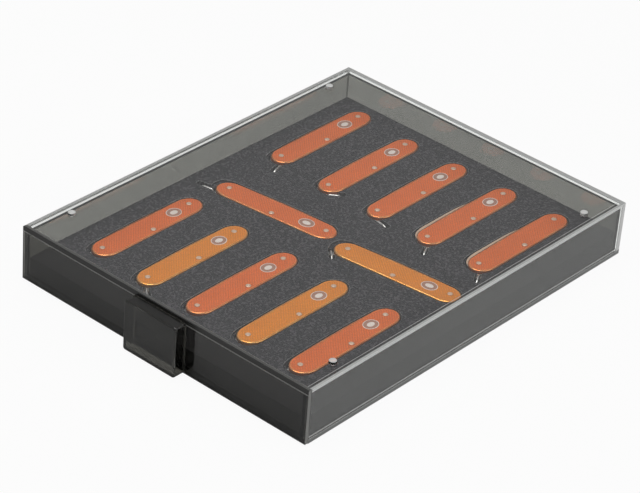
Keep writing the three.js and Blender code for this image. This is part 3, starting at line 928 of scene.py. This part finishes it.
def make_base():
    low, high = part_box("case_base")
    base = block("base_plate", low, high)
    radius = PEG_RADIUS + RECESS_CLEARANCE
    depth = PEG_HEIGHT + RECESS_CLEARANCE
    plug = turned("plug", [(0, -depth), (radius, -depth), (radius, depth), (0, depth)], ROUND_SIDES)
    boolean(base, "DIFFERENCE", [repeated(plug, peg_places(low.z))])
    sliced(base, [(2, high.z - PLATE_LIT_BAND)])
    piece = fit_out(moulded(base, PLATE_EDGE), CLEAR_PLASTIC, "case_base")

    def on_side(face):
        return min(high.x - abs(face.center.x), high.y - face.center.y) < PLATE_EDGE

    # Painted light: a grey band on the base plate's sides, its upper band paler still
    second_finish_or_painted_band(piece, PLATE_SIDE_LIGHT, on_side)
    second_finish_or_painted_band(piece, CLEAR_LIT_EDGE, lambda face: on_side(face) and face.center.z > high.z - PLATE_LIT_BAND)


# Smoked drawer
def make_drawer():
    low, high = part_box("drawer_tray")
    board_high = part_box("insert_board")[1]
    floor_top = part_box("insert_backing")[0].z - SEAT_GAP
    inner_x = board_high.x + INSERT_GAP
    outer_x = inner_x + DRAWER_WALL
    wall_top = high.z - LID_THICKNESS - LID_GAP
    panel_back = low.y + FRONT_THICKNESS
    drawer = block(
        "drawer_shell", (-outer_x, low.y + FRONT_THICKNESS / 2, floor_top - DRAWER_WALL),
        (outer_x, high.y, wall_top),
    )
    panel = block("panel", low, (high.x, panel_back, high.z))
    inside = block(
        "inside", (-inner_x, panel_back, floor_top), (inner_x, high.y - DRAWER_WALL, high.z + CUT_PAST),
    )
    boolean(drawer, "UNION", [panel])
    boolean(drawer, "DIFFERENCE", [inside])
    rim_foot = high.z - PANEL_RIM
    foot_top = low.z + PANEL_FOOT
    highlight_foot = rim_foot - PANEL_HIGHLIGHT_LINE
    sliced(drawer, [(1, low.y + PANEL_TOP_EDGE), (2, rim_foot), (2, highlight_foot), (2, foot_top)])
    piece = fit_out(moulded(drawer), SMOKED_PLASTIC, "drawer_tray")

    def on_rim(face):
        x, y, z = face.center
        if y > panel_back:
            return z > wall_top - MOULDED_EDGE
        on_top = z > high.z - MOULDED_EDGE and y < low.y + PANEL_TOP_EDGE
        return on_top or z < foot_top or (face.normal.y < -SQUARELY_FACING and z > rim_foot)

    def inside_rim(face):
        x, y, z = face.center
        return z > high.z - MOULDED_EDGE and low.y + PANEL_TOP_EDGE < y < panel_back + MOULDED_EDGE

    def on_highlight_line(face):
        return face.normal.y < -SQUARELY_FACING and highlight_foot < face.center.z < rim_foot

    # Painted shade: near black on the panel's top front edge, its upper front band and its foot, and on
    # the tops of the drawer's walls
    second_finish_or_painted_band(piece, SMOKED_EDGE_SHADE, on_rim)
    # Painted light: a grey band on top of the front panel, behind its dark front edge
    second_finish_or_painted_band(piece, SMOKED_RIM_LIGHT, inside_rim)
    # Painted highlight: a pale line across the front panel, just below its dark upper band
    second_finish_or_painted_band(piece, SMOKED_HIGHLIGHT_LINE, on_highlight_line)
    # Painted light: a pale grey band on the end faces of the drawer's front panel
    second_finish_or_painted_band(piece, SMOKED_LIT_END, lambda face: high.x - abs(face.center.x) < MOULDED_EDGE)


def make_pull():
    low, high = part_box("drawer_pull")
    half_width = (high.x - low.x) / 2
    half_height = (high.z - low.z) / 2
    depth = high.y - low.y

    def outline(grow):
        return square_outline(half_width, half_height, PULL_CORNER, grow)

    pull = loft("drawer_pull_moulding", outline, [(0.0, 0.0)] + eased_top(depth, PULL_EDGE, EDGE_STEPS))
    hollow = block(
        "hollow", (PULL_WALL - half_width, PULL_WALL - half_height, -CUT_PAST),
        (half_width - PULL_WALL, half_height - PULL_WALL, depth - PULL_WALL),
    )
    boolean(pull, "DIFFERENCE", [hollow])
    upright = Matrix.Rotation(math.radians(90), 4, "X")
    pull.data.transform(Matrix.Translation((0, high.y, (high.z + low.z) / 2)) @ upright)
    fit_out(crisp(pull), SMOKED_PLASTIC, "drawer_pull")


# Knives. Each kind of part is made once, in the knife's own frame, and copied to its places.
def oval(centre, radii, sides=ROUND_SIDES):
    return lambda grow: round_outline(centre, [radius + grow for radius in radii], sides)


def drill(outline):
    """A cutter right up through one scale"""
    return loft("drill", outline, [(0.0, 0.0), (0.0, SCALE_TOP + CUT_PAST)])


def rivet_drills(radius):
    return [drill(oval(centre, (radius, radius), RIVET_SIDES)) for centre in rivet_places()]


def scale_shape(has_badge):
    """Handle scale: rounded rim, plain lip, and a sunken field of pips, bare under the badge"""
    field = SCALE_TOP - FIELD_DEPTH
    rim = eased_top(SCALE_TOP, SCALE_RIM, RIM_STEPS)
    lip = [(-SCALE_LIP, SCALE_TOP), (-SCALE_LIP - FIELD_DEPTH / 2, field)]
    scale = loft("scale", handle_outline, [(0.0, SCALE_FOOT)] + rim + lip)
    hole = RIVET_RADIUS + RIVET_CLEARANCE
    boolean(scale, "DIFFERENCE", rivet_drills(hole))
    inset = -SCALE_LIP - PIP_MARGIN
    plate = loft("plate", handle_outline, [(inset, field - PIP_HEIGHT), (inset, field)])
    bare = rivet_drills(hole + PIP_WIDTH / 2)
    if has_badge:
        bare.append(drill(oval(BADGE_PLACE, BADGE_RADII)))
    boolean(plate, "DIFFERENCE", bare)
    pips = grown(plate, PIPS, {
        "Reach": PIP_REACH, "Pitch": PIP_PITCH, "Pip Width": PIP_WIDTH, "Pip Height": PIP_HEIGHT,
        "Material": RED_ORANGE,
    })
    pips.data.transform(Matrix.Translation((0, 0, SCALE_TOP - PIP_HEIGHT)))
    return crisp(joined("scale", [scale, pips]), SCALE_SHARP)


def turned_over(obj):
    """The same part mirrored below the middle plane, its faces still pointing out"""
    shape = bmesh.new()
    shape.from_mesh(obj.data)
    bpy.data.objects.remove(obj)
    bmesh.ops.transform(shape, matrix=Matrix.Diagonal((1, 1, -1, 1)), verts=shape.verts)
    bmesh.ops.reverse_faces(shape, faces=shape.faces)
    return crisp(new_object("turned_over", shape), SCALE_SHARP)


def rivet_head():
    """Low dome with a shallow dimple in its middle, on a short shank"""
    dome = [(RIVET_RADIUS * out, RIVET_PROUD * up) for out, up in RIVET_DOME]
    shank = [(0, -RIVET_PROUD), (RIVET_RADIUS, -RIVET_PROUD)]
    return turned("rivet_head", shank + dome, RIVET_SIDES)


def lug_shape():
    """Short arm at the near end, with the hole that the bail turns in"""
    layer = BLADE_LAYER / 2
    root = bail_point(-LUG_NECK, LUG_TURN)
    centre = bail_point(0, LUG_TURN)
    lug = loft(
        "lug", lambda grow: slot_outline(root, centre, LUG_RADIUS + grow),
        plate_levels(-layer, layer),
    )
    radius = BAIL_WIRE / 2 + BAIL_CLEARANCE
    wall = oval(centre, (radius, radius), RIVET_SIDES)
    hole = loft("hole", wall, [(0.0, -SCALE_TOP), (0.0, SCALE_TOP)])
    return boolean(lug, "DIFFERENCE", [hole])


def steelwork_shape(proud, has_bail):
    """Two liners, two blades and their springs side by side, the rivets and the bail's lug"""
    layer = BLADE_LAYER / 2
    shape = bmesh.new()
    add_loft(shape, handle_outline, [(-CORE_INSET, -layer), (-CORE_INSET, layer)])
    for side in (-1, 1):
        stands = proud if side > 0 else proud * LOWER_BLADE_SHARE
        liner = plate_levels(side * (layer + BLADE_SLIT / 2), side * (layer + LINER_THICKNESS))
        plate = plate_levels(side * BLADE_SLIT / 2, side * (layer - BLADE_SLIT / 2))
        add_loft(shape, lambda grow: handle_outline(grow - LINER_INSET), liner)
        add_loft(shape, lambda grow: blade_outline(stands, grow), plate)
        add_loft(shape, lambda grow: spring_outline(grow - BLADE_INSET / 2), plate)
    places = [(x, y, side * SCALE_TOP) for x, y in rivet_places() for side in (-1, 1)]
    parts = [new_object("plates", shape), repeated(rivet_head(), places)]
    if has_bail:
        parts.append(lug_shape())
    if proud > BLADE_PROUD:
        back = loft(
            "blade_back", lambda grow: blade_outline(proud, grow),
            plate_levels(layer / 2, SCALE_TOP - WIDE_BACK_STEP),
        )
        beside = drill(lambda grow: handle_outline(PLATE_EDGE / 2))
        parts.append(boolean(back, "DIFFERENCE", [beside]))
    return crisp(joined("steelwork", parts))


def bail_shape(turn):
    """Bent wire whose two ends turn into the lug's hole, from above and from below"""
    half = BAIL_HEIGHT / 2
    pin_end = BLADE_LAYER / 2 - BAIL_PIN_DEPTH
    round_start = BAIL_REACH - half
    leg = [(0, pin_end)] + bend((0, half - BAIL_WIRE), (0, half), (BAIL_WIRE, half), BEND_STEPS)
    leg.append(((BAIL_WIRE + round_start) / 2, half))
    bow = arc((round_start, 0), (half, half), 90, -90, END_STEPS)
    path = leg + bow + [(reach, -z) for reach, z in reversed(leg)]
    points = [(*bail_point(reach, turn), z) for reach, z in path]
    line = strung("bail", points, [(i, i + 1) for i in range(len(points) - 1)])
    return crisp(grown(line, WIRE, {"Wire": BAIL_WIRE, "Material": STEEL}), WIRE_SHARP)


def badge_shape():
    """A plain oval ring with a plain oval button in it"""
    foot = SCALE_TOP - FIELD_DEPTH - BADGE_HEIGHT
    top = SCALE_TOP - FIELD_DEPTH + BADGE_HEIGHT

    def within(inset):
        return oval(BADGE_PLACE, [radius - inset for radius in BADGE_RADII])

    levels = eased(foot, top, BADGE_HEIGHT / 2, PLATE_STEPS)
    ring = loft("ring", within(BADGE_MARGIN), levels)
    boolean(ring, "DIFFERENCE", [drill(within(BADGE_MARGIN + BADGE_BAND))])
    button = loft("button", within(BUTTON_INSET), levels)
    covered = within(BADGE_MARGIN + BADGE_BAND / 2)
    ground = loft("ground", covered, [(0.0, foot), (0.0, foot + GROUND_HEIGHT)])
    return crisp(joined("badge", [ring, button, ground]))


def marked(obj):
    """Stores on each point its place in the knife's frame, and how near it is to the handle's rim"""
    mesh = obj.data
    straight = KNIFE_LENGTH / 2 - KNIFE_END_ROUND
    places = []
    nearness = []
    for vertex in mesh.vertices:
        x, y, _ = vertex.co
        beyond = max(abs(y) - straight, 0.0) * KNIFE_WIDTH / 2 / KNIFE_END_ROUND
        inside = KNIFE_WIDTH / 2 - math.hypot(x, beyond)
        places.extend(vertex.co)
        nearness.append(min(1.0, max(0.0, 1 - inside / SCALE_LIP)))
    mesh.attributes.new("knife_place", "FLOAT_VECTOR", "POINT").data.foreach_set("vector", places)
    mesh.attributes.new("rim", "FLOAT", "POINT").data.foreach_set("value", nearness)
    return obj


def knife_place(knife):
    """Where the knife's own frame lies: its outline's box, turned, is set on its lower scale's box"""
    angle = math.radians(CROSS_TURN - 90) if knife.startswith("cross") else 0.0
    turn = Matrix.Rotation(angle, 2)
    xs, ys = zip(*(turn @ Vector(point) for point in handle_outline()))
    low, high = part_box(f"{knife}_bottom_scale")
    x = (low.x + high.x - min(xs) - max(xs)) / 2
    y = (low.y + high.y - min(ys) - max(ys)) / 2
    centre = Matrix.Translation((x, y, middle_plane(knife)))
    return centre @ Matrix.Rotation(angle, 4, "Z")


def blade_proud(knife):
    return WIDE_BLADE_PROUD if knife in WIDE_BLADES else BLADE_PROUD


def make_shapes():
    shapes = {("bail", turn): bail_shape(turn) for turn in sorted(set(BAIL_TURNS.values()))}
    shapes["badge"] = badge_shape()
    for with_badge in (False, True):
        shapes["upper", with_badge] = scale_shape(with_badge)
    shapes["lower"] = turned_over(scale_shape(False))
    for proud in (BLADE_PROUD, WIDE_BLADE_PROUD):
        for with_bail in (False, True):
            shapes["steelwork", proud, with_bail] = steelwork_shape(proud, with_bail)
    return {kind: marked(shape) for kind, shape in shapes.items()}


def make_knife(knife, shapes):
    place = knife_place(knife)
    dye, dye_slot = RED_ORANGE, "red_orange_aluminium"
    if knife in GOLD_KNIVES:
        dye, dye_slot = GOLD_ORANGE, "gold_orange_aluminium"
    with_badge = knife not in NO_BADGE
    steelwork = shapes["steelwork", blade_proud(knife), knife in BAIL_TURNS]
    parts = [
        ("upper_handle", shapes["upper", with_badge], dye, "top_scale", dye_slot),
        ("lower_handle", shapes["lower"], dye, "bottom_scale", dye_slot),
        ("steelwork", steelwork, STEEL, "blade_pack", "steel"),
    ]
    if knife in BAIL_TURNS:
        parts.append(("wire_bail", shapes["bail", BAIL_TURNS[knife]], STEEL, "bail", "steel"))
    for part, shape, material, solid, slot in parts:
        piece = new_object(f"{knife}_{part}", shape.data.copy())
        heights = [abs(face.center.z) for face in piece.data.polygons]
        piece.data.transform(place)
        fit_out(piece, material, f"{knife}_{solid}")
        if part == "steelwork":
            second_finish_or_painted_band(piece, RIVET_METAL, lambda face: heights[face.index] > HEAD_FOOT)
    if with_badge:
        badge = new_object(f"{knife}_badge", shapes["badge"].data.copy())
        ground = len(badge.data.polygons) - ROUND_SIDES - 2
        badge.data.transform(place)
        fit_out(badge, SILVER_INLAY, f"{knife}_top_scale", replaced=False)
        second_finish_or_painted_band(badge, BADGE_GROUND, lambda face: face.index >= ground)


# Foam board, cut from above with a softly rounded edge round each pocket
def pocket_cutter(outline, bottom, top):
    rounded = [(widening, top - drop) for drop, widening in quarter(POCKET_EDGE)][:-1]
    above = [(POCKET_EDGE, top + POCKET_TOP), (POCKET_EDGE, top + CUT_PAST)]
    return loft("pocket", outline, [(0.0, bottom)] + rounded + above)


def pocket_outlines(knife):
    """What is cut through, round the knife and its bail, and the shallower shelf at its near end"""
    proud = blade_proud(knife)
    through = [
        lambda grow: handle_outline(POCKET_CLEARANCE + grow),
        lambda grow: blade_outline(proud, POCKET_CLEARANCE + grow),
    ]
    shelf = [shifted(outline, -NEAR_END_ROOM) for outline in through]
    if knife in BAIL_TURNS:
        sweep = BAIL_REACH * math.sin(math.radians(BAIL_SWING))
        room = sweep + BAIL_WIRE / 2 + BAIL_CLEARANCE
        start = bail_point(0, BAIL_TURNS[knife])
        end = bail_point(BAIL_REACH, BAIL_TURNS[knife])
        through.append(lambda grow: slot_outline(start, end, room + grow))
    return through, shelf


def make_board():
    low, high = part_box("insert_board")
    board = block("foam_board", low, high)
    cutters = []
    for knife in KNIVES:
        place = knife_place(knife)
        top = high.z - place.translation.z
        bottoms = (low.z - place.translation.z - CUT_PAST, top - NEAR_SHELF_DEPTH)
        for bottom, outlines in zip(bottoms, pocket_outlines(knife)):
            for outline in outlines:
                cutter = pocket_cutter(outline, bottom, top)
                cutter.data.transform(place)
                cutters.append(cutter)
    boolean(board, "DIFFERENCE", cutters)
    piece = fit_out(crisp(board), FLOCK, "insert_board")
    rounded = high.z - POCKET_EDGE
    # The rounded edges round the pockets are paler than the flock
    second_finish_or_painted_band(piece, PALE_POCKET_EDGE, lambda face: rounded < face.center.z < high.z - FLOCK_EDGE)


def finish_backing():
    backing = frame["nodes"]["insert_backing"]
    backing.data.materials.clear()
    backing.data.materials.append(CARD)


# Camera, light and floor
def seen_directly(tree):
    """One on the camera's own rays, and on those that pass through plastic without a reflection"""
    path = node(tree, "ShaderNodeLightPath")
    unreflected = maths(tree, "LESS_THAN", path["Glossy Depth"], 0.5)
    through = maths(tree, "MULTIPLY", path["Is Transmission Ray"], unreflected)
    return maths(tree, "MAXIMUM", path["Is Camera Ray"], through)


def make_camera():
    camera = bpy.data.cameras.new("camera")
    camera.lens = CAMERA_LENS
    obj = new_object("camera", camera)
    obj.location = CAMERA_PLACE
    obj.rotation_euler = [math.radians(angle) for angle in CAMERA_TURN]
    scene.camera = obj


def make_soft_box(name, direction, distance, width, watts):
    """A square lamp that faces the case from the given direction"""
    lamp = bpy.data.lights.new(name, "AREA")
    lamp.energy = watts
    lamp.size = width
    obj = new_object(name, lamp)
    towards = Vector(direction).normalized()
    obj.location = towards * distance
    obj.rotation_euler = towards.to_track_quat("Z", "Y").to_euler()


def make_room():
    """White to the camera and through the plastic, a soft grey room in reflections and as light"""
    world = bpy.data.worlds.new("room")
    world.use_nodes = True
    tree = world.node_tree
    direction = node(tree, "ShaderNodeTexCoord")["Generated"]
    height = node(tree, "ShaderNodeSeparateXYZ", {0: direction})["Z"]
    glow = ranged(tree, height, 0.0, 1.0, ROOM_HORIZON, ROOM_ZENITH)
    strength = node(tree, "ShaderNodeMix", {0: seen_directly(tree), 2: glow, 3: 1.0})
    background = tree.nodes["Background"]
    background.inputs["Color"].default_value = WHITE
    feed(tree, background.inputs["Strength"], strength[0])
    scene.world = world


def make_floor():
    """Pale floor, which shows almost white to the camera and keeps a soft shadow: a painted shadow
    under the case, and a painted glow in reflections towards the rear right
    """
    material, tree, shader = new_material("pale_floor")
    grain = grouped(tree, GRAIN, object_place(tree), FLOOR_COLOUR, {
        "Grain Scale": 40.0, "Grain": 0.02, "Blotch Scale": 3.0, "Blotch": 0.02,
    })
    feed(tree, shader["Base Color"], grain["Color"])
    shader["Roughness"].default_value = 0.9
    shader["Specular IOR Level"].default_value = 0.0
    place = node(tree, "ShaderNodeSeparateXYZ", {0: object_place(tree)})
    off_middle = [maths(tree, "ABSOLUTE", place[i]) for i in range(2)]
    beside = [maths(tree, "SUBTRACT", off_middle[i], cad_box[1][i]) for i in range(2)]
    beyond = maths(tree, "MAXIMUM", *beside)
    # Painted shadow: under the case's footprint the floor's white to the camera fades out, so the lit
    # floor's own shade shows
    outside_painted_shadow = ranged(tree, beyond, -FLOOR_SHADE, 0.0, FLOOR_UNDER_CASE)
    white_share = maths(tree, "MULTIPLY", outside_painted_shadow, FLOOR_WHITE)
    # Painted reflection: in reflections only, the floor glows more towards the rear right
    across = maths(tree, "ADD", place["X"], place["Y"])
    painted_reflection_glow = ranged(tree, across, *MIRRORED_FLOOR_GLOW, 0.0, FLOOR_WHITE)
    path = node(tree, "ShaderNodeLightPath")
    painted_reflection_share = maths(tree, "MULTIPLY", path["Is Glossy Ray"], painted_reflection_glow)
    seen = seen_directly(tree)
    share = node(tree, "ShaderNodeMix", {0: seen, 2: painted_reflection_share, 3: white_share})[0]
    strength = node(tree, "ShaderNodeMix", {0: seen, 2: FLOOR_GLEAM, 3: 1.0})
    white = node(tree, "ShaderNodeEmission", {"Color": WHITE, "Strength": strength[0]})
    lit = tree.nodes["Principled BSDF"].outputs[0]
    surface = node(tree, "ShaderNodeMixShader", {0: share, 1: lit, 2: white[0]})
    feed(tree, tree.nodes["Material Output"].inputs["Surface"], surface[0])
    half = FLOOR_SIZE / 2
    corners = [(-half, -half), (half, -half), (half, half), (-half, half)]
    floor = strung("floor", [(x, y, -FLOOR_DROP) for x, y in corners], faces=[range(len(corners))])
    floor.data.materials.append(material)


make_camera()
make_room()
make_soft_box("key_light", *KEY_LIGHT)
make_soft_box("fill_light", *FILL_LIGHT)
make_floor()

make_cover()
make_base()
make_drawer()
make_pull()
make_board()
finish_backing()

knife_shapes = make_shapes()
for knife_name in KNIVES:
    make_knife(knife_name, knife_shapes)
for knife_shape in knife_shapes.values():
    bpy.data.objects.remove(knife_shape)

cycles = scene.cycles
cycles.max_bounces = 24
cycles.glossy_bounces = 16
cycles.transmission_bounces = 20
scene.view_settings.view_transform = "Standard"
